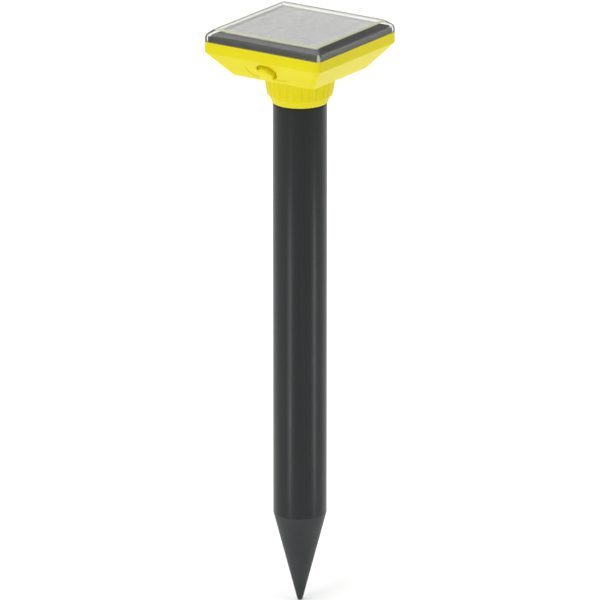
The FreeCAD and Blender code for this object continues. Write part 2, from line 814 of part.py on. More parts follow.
def gasket_outline(body, rim):
    """The groove round the rim that the gasket lies in."""
    sketch = on_plane(body, height=rim)
    soft_square(sketch, f"{HALF_HEAD} - gasket_inset", "corner_radius - gasket_inset")
    inner = "gasket_inset - gasket_width"
    soft_square(sketch, f"{HALF_HEAD} - {inner}", f"corner_radius - {inner}")
    pocket(body, sketch, "gasket_height")


def button_seat(body):
    """The dish, well, guide bore and boot seat of the push button, and the switch board's two posts."""
    pad(body, discs(on_slope(body, "-boss_root"), BOSS), "boss_depth - boss_root", down=True)
    posts = discs(on_slope(body, "-boss_root"), "switch_post_radius", switch_post_centres())
    pad(body, posts, "switch_board_depth - boss_root", down=True)
    pocket(body, stadium(on_slope(body), "dish_length", "dish_width"), "dish_depth")
    pocket(body, discs(on_slope(body), WELL), "well_depth")
    pocket(body, discs(on_slope(body), BUTTON_BORE), "boss_depth")
    pocket(body, discs(on_slope(body, "-boss_depth"), BOOT), "boot_thickness", up=True)
    ends = on_slope(body, "-switch_board_depth")
    pilots = discs(ends, "small_screw_radius + screw_gap", switch_post_centres())
    pocket(body, pilots, "pilot_depth", up=True)


def switch_post_centres():
    return [(f"-{SWITCH_POST}", "0"), (SWITCH_POST, "0")]


def tilted(name, depth="0"):
    """A sub-part in the slope's frame: z is the slope's outward normal, depth is how far in it starts."""
    return new_body(
        name, y=f"{SLOPE_Y} + ({depth}) * sin({TILT})", z=f"{SLOPE_Z} - ({depth}) * cos({TILT})", turn=TILT
    )


def power_button():
    """A domed cap with a flange that keeps it in, hollow from below, and a plunger over the switch."""
    body = tilted("power_button")
    hollow = "button_radius - button_wall"
    crown = "button_proud - button_crown"
    flange = "button_radius + button_flange_out"
    revolve(body, [
        ("0", PLUNGER_END), ("plunger_radius", PLUNGER_END), ("plunger_radius", crown), (hollow, crown),
        (hollow, FLANGE_LOW), (flange, FLANGE_LOW), (flange, FLANGE_TOP), ("button_radius", FLANGE_TOP),
        ("button_radius", "button_proud"), ("0", "button_proud"),
    ])
    round_edge(body, "button_radius", "button_round")


def button_boot():
    body = tilted("button_boot", "boss_depth")
    ring(body, BUTTON_BORE, f"{BOOT} - glue_gap", "0", "boot_thickness")


def button_spring():
    """A round-wire spring between the button's flange and the switch board."""
    body = tilted("button_spring", "switch_board_depth")
    rise = f"switch_board_depth + {FLANGE_LOW} - 2 * spring_wire"
    sketch = discs(on_plane(body, "XZ_Plane"), "spring_wire", [("button_radius + spring_out", "spring_wire")])
    helix(body, sketch, f"({rise}) / spring_turns", rise)


def switch_board():
    body = tilted("switch_board", "switch_board_depth + board_thickness")
    length = f"2 * ({SWITCH_POST} + switch_board_end)"
    pad(body, box(on_plane(body), length, "switch_board_width"), "board_thickness")
    holes = discs(on_plane(body), "small_screw_radius + pass_gap", switch_post_centres())
    pocket(body, holes, "board_thickness", up=True)


def tact_switch():
    body = tilted("tact_switch", "switch_board_depth")
    pad(body, box(on_plane(body), "switch_body", "switch_body"), "switch_body_height")
    pad(body, discs(on_plane(body, height="switch_body_height"), "switch_stem_radius"), "switch_stem_height")


def switch_screws():
    """Two screws up through the switch board into the housing's posts."""
    body = tilted("switch_screws", "switch_board_depth + board_thickness")
    small_screws(body, switch_post_centres(), "small_screw_length")


def rim_gasket():
    body = new_body("rim_gasket", z="rim_height - gasket_height")
    sketch = on_plane(body)
    outer = f"{HALF_HEAD} - gasket_inset - glue_gap"
    inner = f"{HALF_HEAD} - gasket_inset - gasket_width + glue_gap"
    soft_square(sketch, outer, "corner_radius - gasket_inset - glue_gap")
    soft_square(sketch, inner, "corner_radius - gasket_inset - gasket_width + glue_gap")
    pad(body, sketch, "gasket_height - glue_gap")


def clear_cover():
    body = new_body("clear_cover", z="rim_height")
    pad(body, soft_square(on_plane(body), HALF_HEAD, "corner_radius"), "cover_side")
    side = soft_square(on_plane(body, height="cover_side"), HALF_HEAD, "corner_radius")
    loft(body, side, soft_square(on_plane(body, height="cover_height"), COVER_TOP_HALF, "cover_top_corner"))
    round_level(body, "cover_side", "cover_fold_round")
    round_level(body, "cover_height", "cover_top_round")
    inside = f"{HALF_HEAD} - cover_wall"
    corner = "corner_radius - cover_wall"
    shoulder = "cover_side - cover_wall * 0.35"
    pocket(body, soft_square(on_plane(body), inside, corner), shoulder, up=True)
    low = soft_square(on_plane(body, height=shoulder), inside, corner)
    ceiling = on_plane(body, height="cover_height - cover_top")
    loft(body, low, soft_square(ceiling, COVER_INSIDE_TOP, "cover_top_corner / 2"), cut=True)


def panel_tray():
    body = new_body("panel_tray", z=TRAY_LOW)
    corner = "corner_radius - cover_wall"
    pad(body, soft_square(on_plane(body), TRAY_HALF, corner), TRAY_SIDE)
    low = soft_square(on_plane(body, height=TRAY_SIDE), TRAY_HALF, corner)
    loft(body, low, soft_square(on_plane(body, height=TRAY_HEIGHT), TRAY_TOP_HALF, corner))
    under = f"{SEAT} - tray_plate"
    pocket(body, soft_square(on_plane(body), f"{TRAY_HALF} - tray_wall", corner), under, up=True)
    pad(body, discs(on_plane(body), "tray_boss_radius", corners(TRAY_POST)), under)
    pocket(body, soft_square(on_plane(body, height=SEAT), SEAT_HALF, corner), TRAY_HEIGHT, up=True)
    pocket(body, discs(on_plane(body), "tray_screw_radius + pass_gap", corners(TRAY_POST)), SEAT, up=True)
    heads = discs(on_plane(body, height=SEAT), "tray_screw_head + pass_gap", corners(TRAY_POST))
    pocket(body, heads, "tray_screw_head_height + pass_gap")
    pocket(body, discs(on_plane(body, height=SEAT), "lead_hole_radius", [("lead_place", "0")]), "tray_plate")


def tray_screws():
    screws(
        "tray_screws", corners(TRAY_POST), "tray_screw_radius", "tray_screw_length", "tray_screw_head",
        "tray_screw_head_height", f"{SEAT_Z} - tray_screw_head_height - pass_gap",
    )


# ---------------------------------------------------------------- solar panel


def slab(name, height, thickness):
    """A square sheet of the panel, height above the tray's seat."""
    body = new_body(name, z=f"{SEAT_Z} + {height}")
    pad(body, box(on_plane(body), PANEL, PANEL), thickness)
    return body


def panel_foam():
    body = slab("panel_foam", "0", "foam_height")
    inner = f"{PANEL} - 2 * foam_width"
    pocket(body, box(on_plane(body), inner, inner), "foam_height", up=True)


def solar_board():
    body = slab("solar_board", "foam_height", "solar_board_height")
    hole = discs(on_plane(body), "lead_hole_radius", [("lead_place", "0")])
    pocket(body, hole, "solar_board_height", up=True)


def solar_cells():
    """Cells in columns and rows, evenly spaced over the board."""
    body = new_body("solar_cells", z=f"{SEAT_Z} + {CELL_LOW}")
    usable = f"({PANEL} - 2 * solar_cell_margin)"
    width = f"({usable} - {CELL_COLUMNS - 1} * solar_cell_space) / {CELL_COLUMNS}"
    depth = f"({usable} - {CELL_ROWS - 1} * solar_cell_space) / {CELL_ROWS}"
    sketch = on_plane(body)
    for column in range(CELL_COLUMNS):
        for row in range(CELL_ROWS):
            x = f"{column - (CELL_COLUMNS - 1) / 2} * ({width} + solar_cell_space)"
            y = f"{row - (CELL_ROWS - 1) / 2} * ({depth} + solar_cell_space)"
            box(sketch, width, depth, x, y)
    pad(body, sketch, "solar_cell_height")


def cell_ribbons():
    """Two tinned ribbons along each column of cells."""
    body = new_body("cell_ribbons", z=f"{SEAT_Z} + {CELL_LOW} + solar_cell_height")
    sketch = on_plane(body)
    for eighths in (-3, -1, 1, 3):
        box(sketch, "ribbon_width", f"{PANEL} - 4 * solar_cell_margin", f"{eighths} * {PANEL} / 8")
    pad(body, sketch, "ribbon_height")


def panel_resin():
    body = slab("panel_resin", RESIN_LOW, "resin_height")
    hole = discs(on_plane(body), "dot_radius + dot_gap", [("dot_x", "dot_y")])
    pocket(body, hole, "resin_height", up=True)


def panel_dot():
    """The sealed solder dot that shows through the cover."""
    body = new_body("panel_dot", x="dot_x", y="dot_y", z=f"{SEAT_Z} + {RESIN_LOW}")
    pad(body, discs(on_plane(body), "dot_radius"), "resin_height")


# ---------------------------------------------------------------- electronics


def control_board():
    body = new_body("control_board", z=BOARD_LOW)
    pad(body, box(on_plane(body), BOARD_WIDTH, BOARD_WIDTH), "board_thickness")
    holes = discs(on_plane(body), "small_screw_radius + pass_gap", corners(BOARD_POST))
    pocket(body, holes, "board_thickness", up=True)
    pocket(body, discs(on_plane(body), "board_opening"), "board_thickness", up=True)


def board_screws():
    screws(
        "board_screws", corners(BOARD_POST), "small_screw_radius", "board_screw_length", "small_screw_head",
        "small_screw_head_height", BOARD_TOP,
    )


def board_chips():
    body = new_body("board_chips", z=BOARD_TOP)
    sketch = on_plane(body)
    for y in ("chip_length * 0.5", "-chip_length * 0.9"):
        box(sketch, "chip_width", "chip_length", f"-{BOARD_WIDTH} * 0.3", y)
    box(sketch, "chip_width", "chip_width", f"{BOARD_WIDTH} * 0.26", f"-{BOARD_WIDTH} * 0.26")
    pad(body, sketch, "chip_height")


def board_capacitors():
    body = new_body("board_capacitors", z=BOARD_TOP)
    centres = [(f"-{BOARD_WIDTH} * {share}", f"{BOARD_WIDTH} / 3") for share in (0.26, 0.07)]
    pad(body, discs(on_plane(body), "capacitor_radius", centres), "capacitor_height")


def board_inductor():
    body = new_body("board_inductor", x=f"{BOARD_WIDTH} * 0.22", y=f"{BOARD_WIDTH} / 3", z=BOARD_TOP)
    pad(body, discs(on_plane(body), "inductor_radius"), "inductor_height")


def board_sockets():
    """One socket for the panel's wires and one for the switch's."""
    body = new_body("board_sockets", z=BOARD_TOP)
    sketch = on_plane(body)
    box(sketch, "socket_width", "socket_length", "panel_socket", "0")
    box(sketch, "socket_length", "socket_width", "0", "-switch_socket")
    pad(body, sketch, "socket_height")


# ---------------------------------------------------------------- battery carrier


def battery_carrier():
    """A flanged tube, open along its -Y side, with a shelf that parts the cells from the wires."""
    body = new_body("battery_carrier", z=FLOOR_TOP)
    low, floor, roof = (f"({height} - {FLOOR_TOP})" for height in (CARRIER_LOW, CARRIER_FLOOR, "cell_top"))
    flange = f"{CARRIER} + carrier_flange_out"
    revolve(body, [
        ("0", low), (CARRIER, low), (CARRIER, "0"), (flange, "0"), (flange, "carrier_flange_thickness"),
        (CARRIER_INSIDE, "carrier_flange_thickness"), (CARRIER_INSIDE, floor), ("0", floor),
    ])
    shelf_y = f"{SHELF} + shelf_thickness / 2"
    chord = f"2 * sqrt(({CARRIER_INSIDE} + carrier_wall / 2)^2 - ({SHELF} + shelf_thickness)^2)"
    pad(body, box(on_plane(body, height=floor), chord, "shelf_thickness", "0", shelf_y), f"-{floor}")
    pad(body, discs(on_plane(body, height=roof), f"{CARRIER_INSIDE} + carrier_wall / 2"), "carrier_roof")
    mouth = "2 * (cell_radius + running_gap)"
    mouth = box(on_plane(body, height=roof), mouth, CARRIER, "0", f"-cell_axis - {CARRIER} / 2")
    pocket(body, mouth, f"{roof} - {floor}")
    channel = on_plane(body, height=f"{roof} + carrier_roof")
    box(channel, "5 * wire_space", "3 * wire_radius + wire_bend / 2", "0", f"{WIRE_PLACE} - wire_bend / 4")
    pocket(body, channel, "carrier_roof")
    for top in (roof, f"{floor} + notch_height"):
        notch = on_plane(body, height=top)
        box(notch, "3 * wire_space", "shelf_thickness * 1.5", "-wire_space", shelf_y)
        pocket(body, notch, "notch_height")
    pocket(body, speaker_wire_slot(body, floor), "carrier_end")
    holes = discs(on_plane(body), "clamp_radius + pass_gap", around(CLAMP_CIRCLE, CLAMPS))
    pocket(body, holes, "carrier_flange_thickness", up=True)
    pilots = discs(on_plane(body, height=low), "small_screw_radius + screw_gap", speaker_screw_centres())
    pocket(body, pilots, "carrier_end * 0.9", up=True)


def speaker_wire_slot(body, height):
    return box(on_plane(body, height=height), "3 * wire_space", "3 * wire_radius", "wire_space", WIRE_PLACE)


def speaker_screw_centres():
    return [(f"-{SPEAKER_SCREW}", "0"), (SPEAKER_SCREW, "0")]


def battery_cells():
    """Round cells end to end, positive ends up."""
    body = new_body("battery_cells", y="-cell_axis", z="cell_top - contact_thickness - cell_gap")
    for index in range(CELLS):
        shoulder = f"-{index} * {CELL_PITCH} - cell_button_height"
        pad(body, discs(on_plane(body, height=shoulder), "cell_radius"), "cell_body", down=True)
        pad(body, discs(on_plane(body, height=shoulder), "cell_button_radius"), "cell_button_height")


def battery_contact():
    body = new_body("battery_contact", y="-cell_axis", z="cell_top - contact_thickness")
    pad(body, box(on_plane(body), "contact_width", "contact_width"), "contact_thickness")


def battery_spring():
    """The lower contact: a plate and the spring that stands on it."""
    body = new_body("battery_spring", y="-cell_axis", z=CARRIER_FLOOR)
    pad(body, box(on_plane(body), "contact_width", "contact_width"), "contact_thickness")
    start = "contact_thickness + contact_spring_wire * 0.9"
    sketch = discs(on_plane(body, "XZ_Plane"), "contact_spring_wire", [("contact_spring_radius", start)])
    rise = "contact_spring_height - 2 * contact_spring_wire"
    helix(body, sketch, f"({rise}) / contact_spring_turns", rise)


# ---------------------------------------------------------------- speaker, below the carrier


def speaker_part(name, points):
    body = new_body(name, z=CARRIER_LOW)
    revolve(body, points)
    return body


def speaker_ring(name, inner, outer, low, height):
    high = f"{low} + {height}"
    return speaker_part(name, [(inner, low), (outer, low), (outer, high), (inner, high)])


def speaker_basket():
    body = speaker_part("speaker_basket", [
        ("0", "0"), (CARRIER, "0"), (CARRIER, "-basket_height"), (BASKET_INSIDE, "-basket_height"),
        (BASKET_INSIDE, "-basket_plate"), ("0", "-basket_plate"),
    ])
    pocket(body, speaker_wire_slot(body, "0"), "basket_plate")
    holes = discs(on_plane(body), "small_screw_radius + pass_gap", speaker_screw_centres())
    pocket(body, holes, "basket_plate")


def speaker_yoke():
    speaker_part("speaker_yoke", [
        ("0", "-basket_plate"), (YOKE, "-basket_plate"), (YOKE, YOKE_FACE),
        ("pole_radius", YOKE_FACE), ("pole_radius", GAP_PLATE_LOW), ("0", GAP_PLATE_LOW),
    ])


def speaker_magnet():
    speaker_ring("speaker_magnet", "magnet_bore", YOKE, f"{YOKE_FACE} - magnet_height", "magnet_height")


def speaker_gap_plate():
    speaker_ring("speaker_gap_plate", "gap_plate_bore", YOKE, GAP_PLATE_LOW, "gap_plate_height")


def speaker_coil():
    speaker_ring("speaker_coil", "coil_inner", "coil_inner + coil_wall", COIL_LOW, "coil_height")


def speaker_diaphragm():
    rim = f"{BASKET_INSIDE} - surround_width"
    crown = "coil_inner + coil_wall"
    low = f"{COIL_LOW} - cone_drop"
    speaker_part("speaker_diaphragm", [
        ("0", COIL_LOW), (crown, COIL_LOW), (rim, low), (rim, f"{low} - cone_thickness"),
        (crown, f"{COIL_LOW} - cone_thickness"), ("0", f"{COIL_LOW} - cone_thickness"),
    ])


def speaker_surround():
    low = f"{COIL_LOW} - cone_drop - cone_thickness"
    inner, outer = f"{BASKET_INSIDE} - surround_width", f"{BASKET_INSIDE} - glue_gap"
    speaker_ring("speaker_surround", inner, outer, low, "cone_thickness")


def speaker_grille():
    outer = f"{BASKET_INSIDE} - glue_gap"
    body = speaker_ring("speaker_grille", "grille_hole_radius", outer, "-basket_height", "grille_height")
    low = on_plane(body, height="-basket_height")
    holes = discs(low, "grille_hole_radius", around("grille_hole_circle", GRILLE_HOLES))
    pocket(body, holes, "grille_height", up=True)


def speaker_screws():
    """Two screws up through the basket's plate into the carrier's end."""
    body = new_body("speaker_screws", z=f"{CARRIER_LOW} - basket_plate")
    small_screws(body, speaker_screw_centres(), "speaker_screw_length")


# ---------------------------------------------------------------- wires


def panel_wires():
    top = f"{SEAT_Z} + {CELL_LOW} - glue_gap"
    turn = f"{SOCKET_TOP} + panel_wire_rise"
    end = f"{SOCKET_TOP} + glue_gap"
    points = [("lead_place", top), ("lead_place", turn), ("panel_socket", turn), ("panel_socket", end)]
    wires("panel_wires", "XZ_Plane", [(f"{side} * wire_space / 2", points) for side in (-1, 1)])


def switch_wires():
    """From the switch's socket up and across to the back of the switch board."""
    depth = "switch_board_depth + board_thickness"
    level = f"{SLOPE_Z} - ({depth}) * cos({TILT})"
    stand = f"(pass_gap - wire_radius * cos({TILT})) / sin({TILT})^2"
    end = f"{SLOPE_Y} + ({depth} + {stand}) * sin({TILT})"
    points = [("-switch_socket", f"{SOCKET_TOP} + glue_gap"), ("-switch_socket", level), (end, level)]
    wires("switch_wires", "YZ_Plane", [(f"{side} * wire_space / 2", points) for side in (-1, 1)])


def battery_wires():
    """One lead to each end of the cells, behind the carrier's shelf."""
    start = (WIRE_PLACE, f"{BOARD_LOW} - glue_gap")
    stop = "contact_width / 2 - cell_axis + 3 * glue_gap"
    high = "cell_top - contact_thickness - wire_radius / 2"
    low = f"{CARRIER_FLOOR} + wire_radius + 3 * glue_gap"
    wires("battery_wires", "YZ_Plane", [
        (f"{place} * wire_space", [start, (WIRE_PLACE, level), (stop, level)])
        for place, level in ((-1.5, high), (-0.5, low))
    ])


def speaker_wires():
    start = (WIRE_PLACE, f"{BOARD_LOW} - glue_gap")
    stop = (WIRE_PLACE, f"{CARRIER_LOW} - basket_plate - wire_space")
    wires("speaker_wires", "YZ_Plane", [(f"{place} * wire_space", [start, stop]) for place in (0.5, 1.5)])


PARTS = [
    stake_tube, spike_point, threaded_insert, union_nut, neck_ring, neck_seal, clamp_screws, head_housing,
    power_button, button_boot, button_spring, switch_board, tact_switch, switch_screws, rim_gasket,
    clear_cover, panel_tray, tray_screws, panel_foam, solar_board, solar_cells, cell_ribbons, panel_resin,
    panel_dot, control_board, board_screws, board_chips, board_capacitors, board_inductor, board_sockets,
    battery_carrier, battery_cells, battery_contact, battery_spring, speaker_basket, speaker_yoke,
    speaker_magnet, speaker_gap_plate, speaker_coil, speaker_diaphragm, speaker_surround, speaker_grille,
    speaker_screws, panel_wires, switch_wires, battery_wires, speaker_wires,
]

for make in PARTS:
    make()
doc.recompute()

for item in doc.Objects:
    if "Invalid" in item.State or "Error" in item.State:
        raise ValueError(f"{item.Name} is {item.State}")

os.makedirs("parts", exist_ok=True)
for node in nodes:
    if node.Shape.isNull() or not node.Shape.isValid():
        raise ValueError(f"{node.Label} has no valid shape")
    node.Shape.exportStep(f"parts/{node.Label}.step")
    print(node.Label, len(node.Shape.Solids), round(node.Shape.Volume, 1))
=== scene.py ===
"""Looks for the solar ground-stake pest repeller: materials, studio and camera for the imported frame."""

import math

import bpy
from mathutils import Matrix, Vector


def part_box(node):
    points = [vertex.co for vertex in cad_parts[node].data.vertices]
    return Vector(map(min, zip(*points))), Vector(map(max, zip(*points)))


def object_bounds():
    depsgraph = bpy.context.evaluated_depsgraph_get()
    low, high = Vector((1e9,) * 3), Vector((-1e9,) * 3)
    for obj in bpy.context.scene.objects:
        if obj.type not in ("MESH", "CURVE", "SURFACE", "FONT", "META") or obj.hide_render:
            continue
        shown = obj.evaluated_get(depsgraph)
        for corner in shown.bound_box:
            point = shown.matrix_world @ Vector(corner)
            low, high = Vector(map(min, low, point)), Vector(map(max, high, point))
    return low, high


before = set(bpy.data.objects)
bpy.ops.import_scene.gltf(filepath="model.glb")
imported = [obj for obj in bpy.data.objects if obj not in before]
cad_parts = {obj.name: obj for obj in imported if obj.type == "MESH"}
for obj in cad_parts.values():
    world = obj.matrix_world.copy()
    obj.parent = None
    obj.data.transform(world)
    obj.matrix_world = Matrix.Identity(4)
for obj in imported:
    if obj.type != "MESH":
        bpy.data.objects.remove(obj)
cad_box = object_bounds()
scene = bpy.context.scene

MM = 0.001

# ---------------------------------------------------------------- camera and studio, in metres

CAMERA_DISTANCE = 5.0
CAMERA_AZIMUTH = 34.02
CAMERA_ELEVATION = 18.18
CAMERA_AIM = Vector((0.0007, -0.0010, -0.1522))
CAMERA_LENS = 404.4
SENSOR = 36.0
CAMERA_NEAR, CAMERA_FAR = 0.1, 100.0

FLOOR_RADIUS = 20.0
FLOOR_SIDES = 96
FLOOR_GAP = 0.5 * MM
WORLD_STRENGTH = 0.43
SUN_STRENGTH = 2.08
SUN_SPREAD = 80.0
SUN_AZIMUTH, SUN_ELEVATION = -20.0, 80.0

# name, azimuth and elevation from the object, height aimed at, distance, width, height, watts
LIGHTS = (
    ("key_box", -18.0, 26.0, -0.165, 1.7, 1.0, 1.0, 3.0),
    ("back_box", 214.0, 19.0, -0.165, 1.8, 1.6, 0.8, 2.4),
    ("left_strip", -8.0, 0.0, -0.285, 0.28, 0.028, 0.27, 0.20),
    ("right_strip", 97.0, 0.0, -0.285, 0.28, 0.028, 0.27, 0.19),
)


def direction(azimuth, elevation):
    """Unit vector towards a place round the object; azimuth 0 is -Y and 90 is +X, as for the camera."""
    a, e = math.radians(azimuth), math.radians(elevation)
    return Vector((math.sin(a) * math.cos(e), -math.cos(a) * math.cos(e), math.sin(e)))


def aimed(item, place, aim):
    item.location = place
    item.rotation_mode = "QUATERNION"
    item.rotation_quaternion = (aim - place).to_track_quat("-Z", "Y")
    scene.collection.objects.link(item)


def add_camera():
    data = bpy.data.cameras.new("camera")
    data.lens = CAMERA_LENS
    data.sensor_width = SENSOR
    data.clip_start, data.clip_end = CAMERA_NEAR, CAMERA_FAR
    camera = bpy.data.objects.new("camera", data)
    aimed(camera, CAMERA_AIM + CAMERA_DISTANCE * direction(CAMERA_AZIMUTH, CAMERA_ELEVATION), CAMERA_AIM)
    scene.camera = camera


def add_lights():
    for name, azimuth, elevation, level, distance, width, height, watts in LIGHTS:
        data = bpy.data.lights.new(name, "AREA")
        data.shape = "RECTANGLE"
        data.size, data.size_y = width, height
        data.energy = watts
        light = bpy.data.objects.new(name, data)
        light.visible_camera = False
        aim = Vector((0.0, 0.0, level))
        aimed(light, aim + distance * direction(azimuth, elevation), aim)
    sun = bpy.data.lights.new("ceiling", "SUN")
    sun.energy, sun.angle = SUN_STRENGTH, math.radians(SUN_SPREAD)
    lamp = bpy.data.objects.new("ceiling", sun)
    aimed(lamp, direction(SUN_AZIMUTH, SUN_ELEVATION), Vector((0.0, 0.0, 0.0)))


def add_world():
    world = bpy.data.worlds.new("studio")
    world.use_nodes = True
    background = world.node_tree.nodes["Background"]
    background.inputs["Color"].default_value = (1.0, 1.0, 1.0, 1.0)
    background.inputs["Strength"].default_value = WORLD_STRENGTH
    scene.world = world


def add_floor():
    bpy.ops.mesh.primitive_circle_add(
        vertices=FLOOR_SIDES, radius=FLOOR_RADIUS, fill_type="NGON", location=(0, 0, cad_box[0].z - FLOOR_GAP)
    )
    floor = bpy.context.object
    floor.name = "floor"
    floor.data.materials.append(floor_paper())


# ---------------------------------------------------------------- printed and wound detail, and the cover's painted edge highlight, in metres

RIM_WIDTH = 7.6 * MM  # the cover's top rim band that carries a painted straw-coloured highlight, in from its side
RIM_FADE = 1.0 * MM
RIM_DEPTH = 1.0 * MM  # and down from its top
RIM_DEPTH_FADE = 0.5 * MM
CORNER_WIDTH = 2.2 * MM  # the cover's upright corners, which carry the same painted highlight, in from both sides
CORNER_FADE = 0.6 * MM
FINGER_PITCH = 1.9 * MM
FINGER_SHARE = 0.04  # half a printed finger's width, as a share of the pitch
WINDING_PITCH = 0.25 * MM
CELL_COUNT = 3
SLEEVE_SHARE = 0.955  # how much of each cell's length the green sleeve covers

# ---------------------------------------------------------------- material helpers


class Shader:
    """A material with one Principled shader, and short calls that feed its sockets."""

    def __init__(self, name, **sockets):
        self.material = bpy.data.materials.new(name)
        self.material.use_nodes = True
        self.tree = self.material.node_tree
        self.surface = self.tree.nodes["Principled BSDF"]
        self.place = self.node("ShaderNodeTexCoord").outputs["Object"]
        for socket, value in sockets.items():
            self.set(socket.replace("_", " "), value)

    def set(self, socket, value):
        if isinstance(value, tuple) and len(value) == 3:
            value = (*value, 1.0)
        self.surface.inputs[socket].default_value = value

    def node(self, kind, **settings):
        made = self.tree.nodes.new(kind)
        for key, value in settings.items():
            setattr(made, key, value)
        return made

    def link(self, source, target):
        self.tree.links.new(source, target)
        return target

    def stretched(self, scale):
        """Object coordinates scaled along each axis."""
        mapping = self.node("ShaderNodeMapping")
        mapping.inputs["Scale"].default_value = scale
        self.link(self.place, mapping.inputs["Vector"])
        return mapping.outputs["Vector"]

    def noise(self, scale, detail=3.0, roughness=0.55, along=None):
        made = self.node("ShaderNodeTexNoise")
        made.inputs["Scale"].default_value = scale
        made.inputs["Detail"].default_value = detail
        made.inputs["Roughness"].default_value = roughness
        self.link(along or self.place, made.inputs["Vector"])
        return made.outputs["Fac"]

    def ramp(self, source, low, high):
        """The source's values between low and high, stretched to 0 to 1."""
        made = self.node("ShaderNodeMapRange")
        made.inputs["From Min"].default_value = low
        made.inputs["From Max"].default_value = high
        self.link(source, made.inputs["Value"])
        return made.outputs["Result"]

    def between(self, source, low, high):
        """A 0 to 1 source turned into values from low to high."""
        made = self.node("ShaderNodeMapRange")
        made.inputs["To Min"].default_value = low
        made.inputs["To Max"].default_value = high
        self.link(source, made.inputs["Value"])
        return made.outputs["Result"]

    def blend(self, source, low, high):
        """Colour low where the source is 0 and high where it is 1; either may be an output."""
        made = self.node("ShaderNodeMix", data_type="RGBA")
        self.link(source, made.inputs[0])
        for socket, value in ((made.inputs[6], low), (made.inputs[7], high)):
            if isinstance(value, tuple):
                socket.default_value = (*value, 1.0)
            else:
                self.link(value, socket)
        return made.outputs[2]

    def maths(self, operation, first, second=None):
        made = self.node("ShaderNodeMath", operation=operation)
        for socket, value in zip(made.inputs, (first, second)):
            if isinstance(value, (int, float)):
                socket.default_value = value
            elif value is not None:
                self.link(value, socket)
        return made.outputs[0]

    def colour(self, source):
        self.link(source, self.surface.inputs["Base Color"])

    def gloss(self, source):
        self.link(source, self.surface.inputs["Roughness"])

    def relief(self, source, height, strength=1.0):
        bump = self.node("ShaderNodeBump")
        bump.inputs["Distance"].default_value = height
        bump.inputs["Strength"].default_value = strength
        self.link(source, bump.inputs["Height"])
        self.link(bump.outputs["Normal"], self.surface.inputs["Normal"])

    def axis(self, letter):
        split = self.node("ShaderNodeSeparateXYZ")
        self.link(self.place, split.inputs[0])
        return split.outputs[letter]


def moulded(name, colour, shade, roughness, grain=0.004, pores=2600.0, specular=0.5):
    """Injection-moulded plastic: slightly uneven colour and gloss over a fine spark-eroded grain."""
    low, high = roughness
    made = Shader(name, Specular_IOR_Level=specular)
    made.colour(made.blend(made.ramp(made.noise(35.0), 0.35, 0.65), colour, shade))
    made.gloss(made.between(made.ramp(made.noise(160.0, 4.0), 0.3, 0.7), low, high))
    made.relief(made.noise(pores, 2.0), grain * MM)
    return made


def floor_paper():
    made = Shader("floor_paper", Roughness=0.9, Specular_IOR_Level=0.1)
    made.colour(made.blend(made.noise(6.0), (0.94, 0.94, 0.94), (0.96, 0.96, 0.96)))
    made.relief(made.noise(900.0), 0.02 * MM)
    return made.material


# ---------------------------------------------------------------- materials


def yellow_plastic():
    colour, shade = (0.790, 0.695, 0.005), (0.765, 0.670, 0.005)
    return moulded("yellow_plastic", colour, shade, (0.30, 0.40), specular=0.14).material


def tube_plastic():
    """Extruded charcoal plastic: fine streaks of gloss along the stake."""
    made = Shader("tube_plastic", Specular_IOR_Level=0.28)
    streaks = made.noise(1.0, 4.0, 0.6, made.stretched((420.0, 420.0, 5.0)))
    made.colour(made.blend(made.ramp(streaks, 0.3, 0.7), (0.009, 0.0105, 0.011), (0.012, 0.014, 0.015)))
    made.gloss(made.between(made.ramp(streaks, 0.3, 0.7), 0.26, 0.34))
    made.relief(made.noise(1.0, 3.0, 0.5, made.stretched((900.0, 900.0, 14.0))), 0.012 * MM)
    return made.material


def spike_plastic():
    colour, shade = (0.018, 0.020, 0.021), (0.023, 0.026, 0.027)
    return moulded("spike_plastic", colour, shade, (0.44, 0.54), 0.006, 1800.0, 0.35).material


def clear_plastic():
    """Clear acrylic with a painted straw-coloured highlight, also made less clear, at its top rim and upright
    corners.
    """
    top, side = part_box("clear_cover")[1].z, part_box("clear_cover")[1].x
    made = Shader("clear_plastic", IOR=1.47)
    across, along = (made.maths("ABSOLUTE", made.axis(letter)) for letter in "XY")
    rim, rim_low, corner_in = side - RIM_WIDTH, top - RIM_DEPTH, side - CORNER_WIDTH
    outward = made.ramp(made.maths("MAXIMUM", across, along), rim, rim + RIM_FADE)
    upward = made.ramp(made.axis("Z"), rim_low, rim_low + RIM_DEPTH_FADE)
    corner = made.ramp(made.maths("MINIMUM", across, along), corner_in, corner_in + CORNER_FADE)
    # painted highlight: a straw-coloured, less clear band on the rim and upright corners stands in for light
    # caught by the rounded edges
    painted_edge_highlight = made.maths("MAXIMUM", made.maths("MULTIPLY", outward, upward), corner)
    made.colour(made.blend(painted_edge_highlight, (0.97, 0.975, 0.94), (0.62, 0.62, 0.36)))
    made.link(made.between(painted_edge_highlight, 1.0, 0.25), made.surface.inputs["Transmission Weight"])
    made.gloss(made.between(made.ramp(made.noise(90.0, 4.0), 0.4, 0.7), 0.02, 0.06))
    made.relief(made.noise(55.0, 2.0), 0.01 * MM)
    return made.material


def tray_plastic():
    colour, shade = (0.010, 0.012, 0.013), (0.016, 0.018, 0.018)
    return moulded("tray_plastic", colour, shade, (0.46, 0.56), 0.006, 1500.0, 0.12).material


def black_plastic():
    return moulded("black_plastic", (0.020, 0.020, 0.021), (0.028, 0.028, 0.029), (0.42, 0.52)).material


def black_rubber():
    colour, shade = (0.016, 0.016, 0.016), (0.024, 0.024, 0.024)
    return moulded("black_rubber", colour, shade, (0.62, 0.75), 0.010, 1200.0, 0.3).material


def foam_tape():
    made = Shader("foam_tape", Roughness=0.9, Specular_IOR_Level=0.2)
    cells = made.noise(1400.0, 4.0, 0.7)
    made.colour(made.blend(cells, (0.05, 0.05, 0.05), (0.13, 0.13, 0.13)))
    made.relief(cells, 0.08 * MM)
    return made.material


